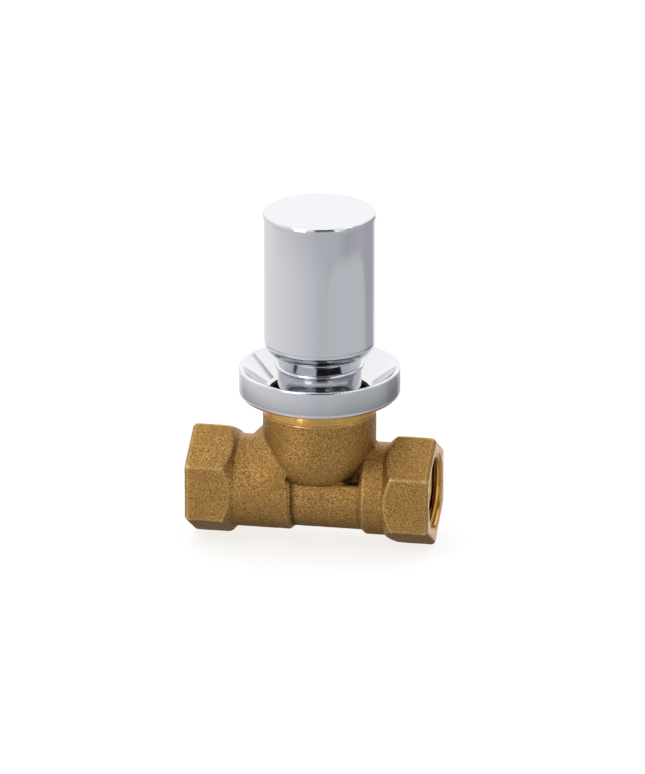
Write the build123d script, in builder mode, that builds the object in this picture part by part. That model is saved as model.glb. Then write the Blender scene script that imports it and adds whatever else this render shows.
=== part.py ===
from build123d import *
import os

os.makedirs("parts", exist_ok=True)

# A concealed stop valve: a brass body with a threaded hexagon at each end, a screw-in headwork, a chromed
# sleeve and rosette for the wall, and a cylindrical handle.
# Millimetres. +X runs along the pipe towards the outlet and +Z along the spindle towards the user.
# The origin is where the pipe axis and the spindle axis cross.

# Play between pieces
thread_play = 0.05
turning_play = 0.05
guide_play = 0.10
seal_play = 0.02
loose_play = 0.20

# Body, outside
inlet_end_x = -35.2
outlet_end_x = 32.3
hex_flats = 27.0
hex_length = 10.4
hex_end_chamfer = 0.8
hex_back_length = 2.7
belly_r = 12.7
waist_depth = 1.1
waist_low_x = -6.2
waist_high_x = 12.7
waist_top_z = 4.2
waist_core_half_width = 8.4
end_ring_r = 12.7
step_round = 0.4
neck_foot_step = 0.7
neck_round_z = 12.5
neck_top_z = 27.0
neck_lip_wall = 1.75
turned_band_height = 4.8
turned_band_depth = 0.15
cheek_inset = 0.1
cheek_reach = 14.1

# Body, inside
port_minor_r = 9.32
port_depth = 14.0
port_mouth_r = 10.65
port_mouth_depth = 1.3
port_floor_step = 2.3
passage_overlap = 0.5
seat_land = 1.2
seat_face_z = 4.2
seat_height = 1.0
chamber_flow_gap = 1.7
floor_wall = 3.0
inlet_slot_half_width = 5.0
inlet_slot_half_height = 3.3
inlet_slot_rise = 0.7
outlet_slot_half_width = 6.0
outlet_slot_half_height = 4.2
outlet_slot_drop = 0.2
slot_reach_x = 4.0

# Headwork housing
housing_wall = 4.4
neck_thread_runout = 1.0
flange_width = 1.4
flange_thickness = 2.0
flange_sink = 2.5
gasket_thickness = 1.0
sleeve_thread_height = 4.0
wrench_flats = 18.0
wrench_height = 5.0
collar_r = 8.0
collar_height = 4.2
guide_wall = 2.0
guide_rim = 0.67
edge_break = 0.4

# Spindle and its seals
spindle_thread_r = 4.0
thrust_collar_height = 2.0
slip_ring_thickness = 0.6
shaft_r = 4.5
seal_cord = 1.2
seal_groove_spare = 0.4
first_seal_inset = 2.0
seal_spacing = 3.0
clip_thickness = 0.8
clip_margin = 1.6
clip_groove_depth = 0.9
clip_opening = 6.4
drive_gap = 1.8
drive_height = 10.0
drive_step = 0.5
drive_notch_r = 0.45
drive_teeth = 12

# Disc and its carrier, drawn closed, and how far they lift
lift = 4.5
travel_gap = 0.3
washer_overlap = 0.3
seat_washer_thickness = 3.0
cup_wall = 0.6
cup_depth = 1.8
carrier_flange_step = 0.2
carrier_flange_thickness = 3.0
carrier_web = 1.3
carrier_round_height = 7.3
carrier_guide_height = 7.0
carrier_seal_drop = 1.3
plate_flow_gap = 1.9
plate_thickness = 0.6
washer_screw_r = 1.9
washer_screw_head_margin = 0.6
washer_screw_head_height = 2.0
washer_screw_length = 6.2
slot_width = 0.8
slot_depth = 0.9

# Sleeve
wrench_clearance = 0.15
sleeve_wall = 0.86
sleeve_length = 23.5
bead_rise = 7.1
bead_height = 1.5
bead_depth = 0.6

# Rosette
rosette_r = 22.0
rosette_height = 7.4
rosette_skirt_drop = 0.5
rosette_wall = 1.0
rosette_rim_round = 0.45
rosette_foot_round = 1.3
rosette_foot_width = 2.6
rosette_seat = 1.35
rosette_hole_rise = 1.1
rosette_lip = 0.85

# Handle
handle_gap = 0.35
handle_wall = 3.3
handle_foot_rise = 11.3
handle_height = 40.5
handle_foot_round = 4.0
handle_top_round = 0.8
handle_stop = 0.8
handle_roof = 2.5
guide_ring_rise = 5.7
guide_ring_height = 2.0
guide_ring_depth = 1.0
adapter_hub_gap = 2.1
adapter_sleeve_gap = 1.1
adapter_flange_height = 8.4
adapter_end_gap = 0.4
adapter_web = 2.4
adapter_recess_margin = 1.0
adapter_groove_depth = 0.9
adapter_groove_spare = 0.8
adapter_screw_r = 1.9
adapter_screw_head_r = 3.5
adapter_screw_head_height = 2.4
adapter_screw_length = 10.5
lock_washer_thickness = 0.8
lock_washer_rim = 0.1
lock_washer_gap = 0.8
grub_r = 2.4
grub_inset = 0.5
grub_socket_flats = 2.5
grub_socket_depth = 1.8

# Radii that follow from the sizes above
hex_corner_r = hex_flats / 3**0.5
waist_r = belly_r - waist_depth
cheek_r = belly_r - cheek_inset
guide_flats = 2 * (spindle_thread_r + guide_wall)
carrier_bore_r = guide_flats / 3**0.5 + guide_rim
housing_thread_r = carrier_bore_r + housing_wall
flange_r = housing_thread_r + flange_width
counterbore_r = flange_r + loose_play
turned_band_r = counterbore_r + neck_lip_wall
neck_r = turned_band_r + turned_band_depth
neck_foot_r = waist_r + neck_foot_step
carrier_round_r = carrier_bore_r - guide_play
carrier_flange_r = carrier_round_r + carrier_flange_step
seat_washer_r = carrier_flange_r - cup_wall - guide_play
seat_bore_r = seat_washer_r - washer_overlap - seat_land
plate_r = seat_bore_r - plate_flow_gap
washer_screw_head_r = plate_r - washer_screw_head_margin
thrust_collar_r = guide_flats / 2 - 2 * guide_play
clip_outer_r = collar_r - clip_margin
clip_groove_r = shaft_r - clip_groove_depth
drive_r = shaft_r - drive_step
lock_washer_r = adapter_screw_head_r + lock_washer_rim
chamber_r = carrier_flange_r + chamber_flow_gap
sleeve_thread_r = wrench_flats / 3**0.5 + wrench_clearance
sleeve_bore_r = sleeve_thread_r + thread_play
sleeve_r = sleeve_bore_r + sleeve_wall
bead_r = sleeve_r + bead_depth
rosette_fold_r = rosette_r - rosette_wall
rosette_hole_r = turned_band_r - rosette_seat
handle_bore_r = sleeve_r + handle_gap
handle_r = handle_bore_r + handle_wall
handle_core_r = handle_bore_r - handle_stop
guide_groove_r = handle_bore_r + guide_ring_depth
adapter_r = handle_bore_r - turning_play
adapter_hub_r = sleeve_bore_r - adapter_hub_gap

# Places along the pipe that follow from the sizes above
belly_end_x = waist_low_x - waist_depth
end_ring_x = waist_high_x + end_ring_r - waist_r

# Heights that follow from the sizes above
lower_chamber_floor_z = floor_wall - waist_r
turned_band_z = neck_top_z - turned_band_height
inlet_slot_z = lower_chamber_floor_z + inlet_slot_rise + inlet_slot_half_height
outlet_slot_z = seat_face_z - outlet_slot_drop + outlet_slot_half_height
washer_top_z = seat_face_z + seat_washer_thickness
carrier_shoulder_z = washer_top_z + carrier_flange_thickness
carrier_round_top_z = carrier_shoulder_z + carrier_round_height
carrier_top_z = carrier_round_top_z + carrier_guide_height
carrier_seal_z = carrier_round_top_z - carrier_seal_drop
plate_low_z = seat_face_z - plate_thickness
housing_foot_z = carrier_shoulder_z + lift + travel_gap
guide_low_z = carrier_round_top_z + lift + travel_gap
thrust_low_z = carrier_top_z + lift + travel_gap
thrust_top_z = thrust_low_z + thrust_collar_height
shoulder_z = thrust_top_z + slip_ring_thickness + turning_play
spindle_foot_z = carrier_shoulder_z + carrier_web + lift + travel_gap
lower_seal_z = shoulder_z + first_seal_inset
upper_seal_z = lower_seal_z + seal_spacing
flange_top_z = neck_top_z - flange_sink
flange_low_z = flange_top_z - flange_thickness
gasket_low_z = flange_low_z - gasket_thickness
wrench_low_z = neck_top_z + sleeve_thread_height
wrench_top_z = wrench_low_z + wrench_height
housing_top_z = wrench_top_z + collar_height
clip_low_z = housing_top_z + turning_play
drive_z = housing_top_z + drive_gap
sleeve_top_z = neck_top_z + sleeve_length
bead_low_z = neck_top_z + bead_rise
rosette_top_z = neck_top_z + rosette_height
rosette_skirt_z = neck_top_z - rosette_skirt_drop
rosette_hole_top_z = neck_top_z + rosette_hole_rise
handle_low_z = neck_top_z + handle_foot_rise
handle_top_z = handle_low_z + handle_height
handle_roof_z = handle_top_z - handle_roof
guide_ring_z = handle_low_z + guide_ring_rise
adapter_flange_low_z = sleeve_top_z + adapter_sleeve_gap
adapter_top_z = adapter_flange_low_z + adapter_flange_height
adapter_web_z = drive_z + drive_height + adapter_end_gap
adapter_recess_z = adapter_web_z + adapter_web
adapter_screw_seat_z = adapter_recess_z + lock_washer_thickness
grub_z = (adapter_flange_low_z + adapter_top_z) / 2


def washer(inner_r, outer_r, low_z, height):
    """A flat ring about the spindle axis."""
    with BuildPart() as piece:
        with BuildSketch(Plane.XY.offset(low_z)):
            Circle(outer_r)
            Circle(inner_r, mode=Mode.SUBTRACT)
        extrude(amount=height)
    return piece


def seal_ring(groove_floor_r, middle_z):
    """A round-section rubber ring about the spindle axis, lying on the floor of its groove."""
    ring_r = groove_floor_r + seal_play + seal_cord / 2
    with BuildPart() as piece:
        with BuildSketch(Plane.XZ):
            with Locations((ring_r, middle_z)):
                Circle(seal_cord / 2)
        revolve(axis=Axis.Z)
    return piece


# The two hexagons of the body, each with its outer end broken and its back coned down to the pipe
def hex_end(end_x, pipe_r):
    """The hexagon at one end of the body, with its corners up and down."""
    inward = -1 if end_x > 0 else 1
    back_x = end_x + inward * hex_length
    cone_x = back_x + inward * hex_back_length
    with BuildPart() as piece:
        with BuildSketch(Plane.YZ.offset(end_x)):
            RegularPolygon(hex_corner_r, 6, rotation=30)
        extrude(amount=inward * (hex_length + hex_back_length))
        outer_edges = piece.faces().sort_by(Axis.X)[-1 if end_x > 0 else 0].edges()
        chamfer(outer_edges, hex_end_chamfer)
        with BuildSketch(Plane.XZ):
            with BuildLine():
                Polyline(
                    (end_x, 0),
                    (end_x, hex_corner_r),
                    (back_x, hex_corner_r),
                    (cone_x, pipe_r),
                    (cone_x, 0),
                    close=True,
                )
            make_face()
        revolve(axis=Axis.X, mode=Mode.INTERSECT)
    return piece


# The inclined cheek that carries the inlet side of the forging up into the neck
with BuildPart() as cheek:
    cheek_plane = Plane(origin=(-cheek_reach, 0, 0), x_dir=(0, 1, 0), z_dir=(1, 0, 1))
    with BuildSketch(cheek_plane):
        Circle(cheek_r)
    extrude(amount=cheek_reach)
    split(bisect_by=Plane.YZ.offset(belly_end_x), keep=Keep.BOTTOM)

# The neck: rounded in to the waist at its foot, rough in the middle and turned at the top
with BuildPart() as neck:
    with BuildSketch(Plane.XZ):
        with BuildLine():
            Line((0, waist_top_z), (neck_foot_r, waist_top_z))
            TangentArc((neck_r, neck_round_z), (neck_foot_r, waist_top_z), tangent=(0, -1))
            Polyline(
                (neck_r, neck_round_z),
                (neck_r, turned_band_z),
                (turned_band_r, turned_band_z),
                (turned_band_r, neck_top_z),
                (0, neck_top_z),
                (0, waist_top_z),
            )
        make_face()
    revolve(axis=Axis.Z)

# The forged brass body
with BuildPart() as valve_body:
    # The pipe run: belly, waist and end ring
    with BuildSketch(Plane.XZ):
        with BuildLine():
            Polyline(
                (inlet_end_x + hex_length, 0),
                (inlet_end_x + hex_length, belly_r),
                (belly_end_x, belly_r),
                (waist_low_x, waist_r),
                (waist_high_x, waist_r),
                (end_ring_x, end_ring_r),
                (outlet_end_x - hex_length, end_ring_r),
                (outlet_end_x - hex_length, 0),
                close=True,
            )
        make_face()
    revolve(axis=Axis.X)
    round_edges = valve_body.edges().filter_by(GeomType.CIRCLE)
    step_edges = round_edges.filter_by_position(Axis.X, belly_end_x - step_round, end_ring_x + step_round)
    fillet(step_edges.sort_by(SortBy.RADIUS)[-2:], step_round)

    # A ledge along each side of the waist, level with the foot of the neck
    with BuildSketch(Plane.XY.offset(waist_top_z)):
        for side in (-1, 1):
            with Locations(((waist_low_x + waist_high_x) / 2, side * (waist_core_half_width + belly_r) / 2)):
                Rectangle(waist_high_x - waist_low_x, belly_r - waist_core_half_width)
    extrude(amount=waist_r, mode=Mode.SUBTRACT)

    add(hex_end(inlet_end_x, belly_r).part)
    add(hex_end(outlet_end_x, end_ring_r).part)

    add(neck.part)
    add(cheek.part)

    # Threaded ports, drawn at the thread's minor radius, with a coned mouth
    for end_x, inward in ((inlet_end_x, 1), (outlet_end_x, -1)):
        with BuildSketch(Plane.XZ):
            with BuildLine():
                Polyline(
                    (end_x, 0),
                    (end_x, port_mouth_r),
                    (end_x + inward * port_mouth_depth, port_minor_r),
                    (end_x + inward * port_depth, port_minor_r),
                    (end_x + inward * port_depth, 0),
                    close=True,
                )
            make_face()
        revolve(axis=Axis.X, mode=Mode.SUBTRACT)

    # The bore under the seat and the chamber over it, with the raised seat left standing
    with BuildSketch(Plane.XY.offset(lower_chamber_floor_z)):
        Circle(seat_bore_r)
    extrude(amount=seat_face_z - lower_chamber_floor_z, mode=Mode.SUBTRACT)
    with BuildSketch(Plane.XY.offset(seat_face_z - seat_height)):
        Circle(chamber_r)
        Circle(seat_bore_r + seat_land, mode=Mode.SUBTRACT)
    extrude(amount=seat_height, mode=Mode.SUBTRACT)
    with BuildSketch(Plane.XY.offset(seat_face_z)):
        Circle(chamber_r)
    extrude(amount=housing_foot_z - neck_thread_runout - seat_face_z, mode=Mode.SUBTRACT)

    # The neck's thread and the counterbore for the housing's flange and gasket
    with BuildSketch(Plane.XY.offset(housing_foot_z - neck_thread_runout)):
        Circle(housing_thread_r + thread_play)
    extrude(amount=neck_top_z - housing_foot_z + neck_thread_runout, mode=Mode.SUBTRACT)
    with BuildSketch(Plane.XY.offset(gasket_low_z)):
        Circle(counterbore_r)
    extrude(amount=neck_top_z - gasket_low_z, mode=Mode.SUBTRACT)

    # The inlet passage dips under the seat, and the outlet passage leaves over it
    with BuildSketch(Plane.YZ.offset(inlet_end_x + port_depth - passage_overlap)):
        Circle(port_minor_r - port_floor_step)
    with BuildSketch(Plane.YZ.offset(-slot_reach_x)):
        with Locations((0, inlet_slot_z)):
            Ellipse(inlet_slot_half_width, inlet_slot_half_height)
    loft(mode=Mode.SUBTRACT)
    with BuildSketch(Plane.YZ.offset(outlet_end_x - port_depth + passage_overlap)):
        Circle(port_minor_r - port_floor_step)
    with BuildSketch(Plane.YZ.offset(slot_reach_x)):
        with Locations((0, outlet_slot_z)):
            Ellipse(outlet_slot_half_width, outlet_slot_half_height)
    loft(mode=Mode.SUBTRACT)
valve_body.part.label = "valve_body"
export_step(valve_body.part, "parts/valve_body.step")

# The headwork housing: thread and flange in the neck, thread for the sleeve, wrench hexagon and bearing
with BuildPart() as headwork_housing:
    with BuildSketch(Plane.XZ):
        with BuildLine():
            Polyline(
                (0, housing_foot_z),
                (housing_thread_r, housing_foot_z),
                (housing_thread_r, flange_low_z),
                (flange_r, flange_low_z),
                (flange_r, flange_top_z),
                (sleeve_thread_r, flange_top_z),
                (sleeve_thread_r, wrench_low_z),
                (collar_r, wrench_low_z),
                (collar_r, housing_top_z),
                (0, housing_top_z),
                close=True,
            )
        make_face()
    revolve(axis=Axis.Z)
    with BuildSketch(Plane.XY.offset(wrench_low_z)):
        RegularPolygon(wrench_flats / 2, 6, major_radius=False)
    extrude(amount=wrench_height)
    chamfer(headwork_housing.faces().sort_by(Axis.Z)[-1].edges(), edge_break)
    with BuildSketch(Plane.XY.offset(housing_foot_z)):
        Circle(carrier_bore_r)
    extrude(amount=guide_low_z - housing_foot_z, mode=Mode.SUBTRACT)
    with BuildSketch(Plane.XY.offset(guide_low_z)):
        RegularPolygon(guide_flats / 2, 6, major_radius=False)
    extrude(amount=thrust_low_z - turning_play - guide_low_z, mode=Mode.SUBTRACT)
    with BuildSketch(Plane.XY.offset(thrust_low_z - turning_play)):
        Circle(thrust_collar_r + turning_play)
    extrude(amount=shoulder_z + turning_play - thrust_low_z, mode=Mode.SUBTRACT)
    with BuildSketch(Plane.XY.offset(shoulder_z)):
        Circle(shaft_r + turning_play)
    extrude(amount=housing_top_z - shoulder_z, mode=Mode.SUBTRACT)
headwork_housing.part.label = "headwork_housing"
export_step(headwork_housing.part, "parts/headwork_housing.step")

# The flat gasket under the housing's flange
housing_gasket = washer(housing_thread_r + loose_play, flange_r, gasket_low_z, gasket_thickness)
housing_gasket.part.label = "housing_gasket"
export_step(housing_gasket.part, "parts/housing_gasket.step")


def drive_outline(play):
    """The toothed outline of the spindle's head, grown by the play that its socket has."""
    Circle(drive_r + play)
    with PolarLocations(drive_r, drive_teeth):
        Circle(drive_notch_r - play, mode=Mode.SUBTRACT)


# The spindle turns in the housing without rising, and its left-hand thread lifts the carrier
with BuildPart() as spindle:
    with BuildSketch(Plane.XZ):
        with BuildLine():
            Polyline(
                (0, spindle_foot_z),
                (spindle_thread_r - edge_break, spindle_foot_z),
                (spindle_thread_r, spindle_foot_z + edge_break),
                (spindle_thread_r, thrust_low_z),
                (thrust_collar_r, thrust_low_z),
                (thrust_collar_r, thrust_top_z),
                (shaft_r, thrust_top_z),
                (shaft_r, drive_z),
                (0, drive_z),
                close=True,
            )
        make_face()
        for groove_z in (lower_seal_z, upper_seal_z):
            with Locations((shaft_r, groove_z)):
                Rectangle(2 * seal_cord, seal_cord + seal_groove_spare, mode=Mode.SUBTRACT)
        with Locations((shaft_r, clip_low_z + clip_thickness / 2)):
            Rectangle(2 * clip_groove_depth, clip_thickness + guide_play, mode=Mode.SUBTRACT)
    revolve(axis=Axis.Z)
    with BuildSketch(Plane.XY.offset(drive_z)):
        drive_outline(0)
    extrude(amount=drive_height)
    with BuildSketch(Plane.XY.offset(drive_z + drive_height)):
        Circle(adapter_screw_r + thread_play)
    extrude(amount=-adapter_screw_length, mode=Mode.SUBTRACT)
spindle.part.label = "spindle"
export_step(spindle.part, "parts/spindle.step")

# Two seals on the spindle
seal_floor_r = shaft_r - seal_cord
spindle_seal_lower = seal_ring(seal_floor_r, lower_seal_z)
spindle_seal_lower.part.label = "spindle_seal_lower"
export_step(spindle_seal_lower.part, "parts/spindle_seal_lower.step")
spindle_seal_upper = seal_ring(seal_floor_r, upper_seal_z)
spindle_seal_upper.part.label = "spindle_seal_upper"
export_step(spindle_seal_upper.part, "parts/spindle_seal_upper.step")

# The plastic ring that the spindle's collar turns against
slip_ring = washer(shaft_r + turning_play, thrust_collar_r, thrust_top_z, slip_ring_thickness)
slip_ring.part.label = "slip_ring"
export_step(slip_ring.part, "parts/slip_ring.step")

# The open clip that keeps the spindle from dropping
with BuildPart() as retaining_clip:
    with BuildSketch(Plane.XY.offset(clip_low_z)):
        Circle(clip_outer_r)
        Circle(clip_groove_r + seal_play, mode=Mode.SUBTRACT)
        with Locations((0, -clip_outer_r)):
            Rectangle(clip_opening, 2 * (clip_outer_r - clip_groove_r / 2), mode=Mode.SUBTRACT)
    extrude(amount=clip_thickness)
retaining_clip.part.label = "retaining_clip"
export_step(retaining_clip.part, "parts/retaining_clip.step")

# The disc carrier: a cup for the seat washer, a sealed round guide and a hexagon that can't turn
with BuildPart() as disc_carrier:
    with BuildSketch(Plane.XZ):
        with BuildLine():
            Polyline(
                (0, washer_top_z),
                (seat_washer_r + guide_play, washer_top_z),
                (seat_washer_r + guide_play, washer_top_z - cup_depth),
                (carrier_flange_r, washer_top_z - cup_depth),
                (carrier_flange_r, carrier_shoulder_z),
                (carrier_round_r, carrier_shoulder_z),
                (carrier_round_r, carrier_round_top_z),
                (0, carrier_round_top_z),
                close=True,
            )
        make_face()
        with Locations((carrier_round_r, carrier_seal_z)):
            Rectangle(2 * seal_cord, seal_cord + seal_groove_spare, mode=Mode.SUBTRACT)
    revolve(axis=Axis.Z)
    with BuildSketch(Plane.XY.offset(carrier_round_top_z)):
        RegularPolygon(guide_flats / 2 - guide_play, 6, major_radius=False)
    extrude(amount=carrier_top_z - carrier_round_top_z)
    with BuildSketch(Plane.XY.offset(carrier_shoulder_z + carrier_web)):
        Circle(spindle_thread_r + thread_play)
    extrude(amount=carrier_top_z - carrier_shoulder_z - carrier_web, mode=Mode.SUBTRACT)
    with BuildSketch(Plane.XY.offset(washer_top_z)):
        Circle(washer_screw_r + thread_play)
    extrude(amount=carrier_flange_thickness + carrier_web / 2, mode=Mode.SUBTRACT)
disc_carrier.part.label = "disc_carrier"
export_step(disc_carrier.part, "parts/disc_carrier.step")

# The seal in the carrier's groove
carrier_seal = seal_ring(carrier_round_r - seal_cord, carrier_seal_z)
carrier_seal.part.label = "carrier_seal"
export_step(carrier_seal.part, "parts/carrier_seal.step")

# The rubber washer that closes on the seat
seat_washer = washer(washer_screw_r + guide_play, seat_washer_r, seat_face_z, seat_washer_thickness)
seat_washer.part.label = "seat_washer"
export_step(seat_washer.part, "parts/seat_washer.step")

# The plate and the slotted screw that hold the seat washer
washer_plate = washer(washer_screw_r + guide_play, plate_r, plate_low_z, plate_thickness)
washer_plate.part.label = "washer_plate"
export_step(washer_plate.part, "parts/washer_plate.step")

with BuildPart() as washer_screw:
    with BuildSketch(Plane.XY.offset(plate_low_z)):
        Circle(washer_screw_head_r)
    extrude(amount=-washer_screw_head_height)
    chamfer(washer_screw.faces().sort_by(Axis.Z)[0].edges(), edge_break)
    with BuildSketch(Plane.XY.offset(plate_low_z)):
        Circle(washer_screw_r)
    extrude(amount=washer_screw_length)
    with BuildSketch(Plane.XY.offset(plate_low_z - washer_screw_head_height)):
        Rectangle(2 * washer_screw_head_r, slot_width)
    extrude(amount=slot_depth, mode=Mode.SUBTRACT)
washer_screw.part.label = "washer_screw"
export_step(washer_screw.part, "parts/washer_screw.step")

# The chromed sleeve screws onto the housing and carries a turned bead
with BuildPart() as extension_sleeve:
    with BuildSketch(Plane.XZ):
        with BuildLine():
            outer = Polyline(
                (sleeve_r, bead_low_z),
                (sleeve_r, neck_top_z),
                (sleeve_bore_r, neck_top_z),
                (sleeve_bore_r, sleeve_top_z),
                (sleeve_r, sleeve_top_z),
                (sleeve_r, bead_low_z + bead_height),
            )
            ThreePointArc(
                outer @ 1,
                (bead_r, bead_low_z + bead_height / 2),
                outer @ 0,
            )
        make_face()
    revolve(axis=Axis.Z)
extension_sleeve.part.label = "extension_sleeve"
export_step(extension_sleeve.part, "parts/extension_sleeve.step")

# The rosette is pressed from sheet: a curled foot, an upright wall, a folded rim and a dish to the hole
rosette_foot_r = rosette_r - rosette_foot_width
dish_foot_r = rosette_hole_r + rosette_lip
dish_slope = (rosette_top_z - rosette_hole_top_z) / (rosette_fold_r - dish_foot_r)
dish_drop = rosette_wall * (1 + dish_slope**2) ** 0.5
with BuildPart() as rosette:
    with BuildSketch(Plane.XZ) as section:
        with BuildLine():
            Polyline(
                (rosette_foot_r, rosette_skirt_z),
                (rosette_r, rosette_skirt_z),
                (rosette_r, rosette_top_z),
                (rosette_fold_r, rosette_top_z),
                (dish_foot_r, rosette_hole_top_z),
                (rosette_hole_r, neck_top_z + rosette_hole_rise / 2),
                (rosette_hole_r, neck_top_z),
                (dish_foot_r + (dish_drop - rosette_hole_rise) / dish_slope, neck_top_z),
                (rosette_fold_r, rosette_top_z - dish_drop),
                (rosette_fold_r, rosette_skirt_z + rosette_wall),
                (rosette_foot_r, rosette_skirt_z + rosette_wall),
                close=True,
            )
        make_face()
        rim_corners = section.vertices().group_by(Axis.Y)[-1]
        fillet(rim_corners, rosette_rim_round)
        foot_corner = section.vertices().group_by(Axis.Y)[0].sort_by(Axis.X)[-1]
        fillet(foot_corner, rosette_foot_round)
    revolve(axis=Axis.Z)
rosette.part.label = "rosette"
export_step(rosette.part, "parts/rosette.step")

# The handle: a turned cylinder with a rounded foot, bored from below over the sleeve
with BuildPart() as handle_shell:
    with BuildSketch(Plane.XZ) as section:
        with BuildLine():
            Polyline(
                (0, handle_low_z),
                (handle_r, handle_low_z),
                (handle_r, handle_top_z),
                (0, handle_top_z),
                close=True,
            )
        make_face()
        fillet(section.vertices().group_by(Axis.X)[-1].sort_by(Axis.Y)[-1], handle_top_round)
        fillet(section.vertices().sort_by_distance((handle_r, handle_low_z))[0], handle_foot_round)
    revolve(axis=Axis.Z)
    with BuildSketch(Plane.XY.offset(handle_low_z)):
        Circle(handle_bore_r)
    extrude(amount=adapter_top_z + turning_play - handle_low_z, mode=Mode.SUBTRACT)
    with BuildSketch(Plane.XY.offset(adapter_top_z)):
        Circle(handle_core_r)
    extrude(amount=handle_roof_z - adapter_top_z, mode=Mode.SUBTRACT)
    with BuildSketch(Plane.XY.offset(guide_ring_z)):
        Circle(guide_groove_r)
    extrude(amount=guide_ring_height, mode=Mode.SUBTRACT)
    with BuildSketch(Plane.XZ):
        with Locations((0, grub_z)):
            Circle(grub_r + thread_play)
    extrude(amount=-handle_r, mode=Mode.SUBTRACT)
handle_shell.part.label = "handle_shell"
export_step(handle_shell.part, "parts/handle_shell.step")

# The plastic ring that centres the handle on the sleeve
guide_ring = washer(
    sleeve_r + turning_play,
    guide_groove_r - turning_play,
    guide_ring_z + turning_play,
    guide_ring_height - 2 * turning_play,
)
guide_ring.part.label = "guide_ring"
export_step(guide_ring.part, "parts/guide_ring.step")

# The adapter: a toothed hub on the spindle, and a flange that the handle slides over
with BuildPart() as handle_adapter:
    with BuildSketch(Plane.XZ):
        with BuildLine():
            Polyline(
                (0, drive_z),
                (adapter_hub_r, drive_z),
                (adapter_hub_r, adapter_flange_low_z),
                (adapter_r, adapter_flange_low_z),
                (adapter_r, adapter_top_z),
                (0, adapter_top_z),
                close=True,
            )
        make_face()
        with Locations((adapter_r, grub_z)):
            Rectangle(2 * adapter_groove_depth, 2 * grub_r + adapter_groove_spare, mode=Mode.SUBTRACT)
    revolve(axis=Axis.Z)
    with BuildSketch(Plane.XY.offset(drive_z)):
        drive_outline(turning_play)
    extrude(amount=adapter_web_z - drive_z, mode=Mode.SUBTRACT)
    with BuildSketch(Plane.XY.offset(adapter_web_z)):
        Circle(adapter_screw_r + guide_play)
    extrude(amount=adapter_web, mode=Mode.SUBTRACT)
    with BuildSketch(Plane.XY.offset(adapter_recess_z)):
        Circle(lock_washer_r + adapter_recess_margin)
    extrude(amount=adapter_top_z - adapter_recess_z, mode=Mode.SUBTRACT)
handle_adapter.part.label = "handle_adapter"
export_step(handle_adapter.part, "parts/handle_adapter.step")

# The split lock washer and the screw that hold the adapter on the spindle
with BuildPart() as lock_washer:
    with BuildSketch(Plane.XY.offset(adapter_recess_z)):
        Circle(lock_washer_r)
        Circle(adapter_screw_r + guide_play, mode=Mode.SUBTRACT)
        with Locations((lock_washer_r, 0)):
            Rectangle(2 * lock_washer_r, lock_washer_gap, mode=Mode.SUBTRACT)
    extrude(amount=lock_washer_thickness)
lock_washer.part.label = "lock_washer"
export_step(lock_washer.part, "parts/lock_washer.step")

with BuildPart() as adapter_screw:
    with BuildSketch(Plane.XY.offset(adapter_screw_seat_z)):
        Circle(adapter_screw_head_r)
    extrude(amount=adapter_screw_head_height)
    chamfer(adapter_screw.faces().sort_by(Axis.Z)[-1].edges(), edge_break)
    with BuildSketch(Plane.XY.offset(adapter_screw_seat_z)):
        Circle(adapter_screw_r)
    extrude(amount=-adapter_screw_length)
    with BuildSketch(Plane.XY.offset(adapter_screw_seat_z + adapter_screw_head_height)):
        Rectangle(2 * adapter_screw_head_r, slot_width)
        Rectangle(slot_width, 2 * adapter_screw_head_r)
    extrude(amount=-slot_depth, mode=Mode.SUBTRACT)
adapter_screw.part.label = "adapter_screw"
export_step(adapter_screw.part, "parts/adapter_screw.step")

# The grub screw at the back of the handle bears on the floor of the adapter's groove
grub_tip_y = adapter_r - adapter_groove_depth
grub_end_y = handle_r - grub_inset
with BuildPart() as grub_screw:
    with BuildSketch(Plane(origin=(0, grub_tip_y, grub_z), x_dir=(1, 0, 0), z_dir=(0, 1, 0))):
        Circle(grub_r)
    extrude(amount=grub_end_y - grub_tip_y)
    chamfer(grub_screw.faces().sort_by(Axis.Y)[0].edges(), edge_break)
    with BuildSketch(Plane(origin=(0, grub_end_y, grub_z), x_dir=(1, 0, 0), z_dir=(0, 1, 0))):
        RegularPolygon(grub_socket_flats / 2, 6, major_radius=False)
    extrude(amount=-grub_socket_depth, mode=Mode.SUBTRACT)
grub_screw.part.label = "grub_screw"
export_step(grub_screw.part, "parts/grub_screw.step")
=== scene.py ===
import logging
import math
from dataclasses import dataclass
from enum import Enum

import bmesh
import bpy
import numpy as np
from mathutils import Matrix, Vector, noise


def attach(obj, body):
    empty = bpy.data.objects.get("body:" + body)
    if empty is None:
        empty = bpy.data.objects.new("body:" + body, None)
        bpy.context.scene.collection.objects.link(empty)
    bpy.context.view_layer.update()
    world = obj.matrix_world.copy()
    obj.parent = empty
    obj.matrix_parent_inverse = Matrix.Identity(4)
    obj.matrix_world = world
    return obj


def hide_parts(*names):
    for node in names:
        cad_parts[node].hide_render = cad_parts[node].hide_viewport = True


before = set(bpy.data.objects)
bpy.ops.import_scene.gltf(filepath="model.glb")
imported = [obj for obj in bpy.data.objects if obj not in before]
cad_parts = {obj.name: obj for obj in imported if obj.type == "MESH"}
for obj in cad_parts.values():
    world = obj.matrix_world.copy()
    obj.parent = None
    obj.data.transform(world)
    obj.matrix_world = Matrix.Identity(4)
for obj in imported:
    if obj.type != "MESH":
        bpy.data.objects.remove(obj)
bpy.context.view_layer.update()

log = logging.getLogger("valve")
MM = 0.001
# The length of one band of Blender's wave texture at scale 1.
WAVE_PERIOD = math.pi / 10


class Body(Enum):
    """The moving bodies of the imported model."""

    VALVE = "valve"
    HANDLE = "handle"
    CLOSING_DISC = "closing_disc"
    ROSETTE = "rosette"


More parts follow.
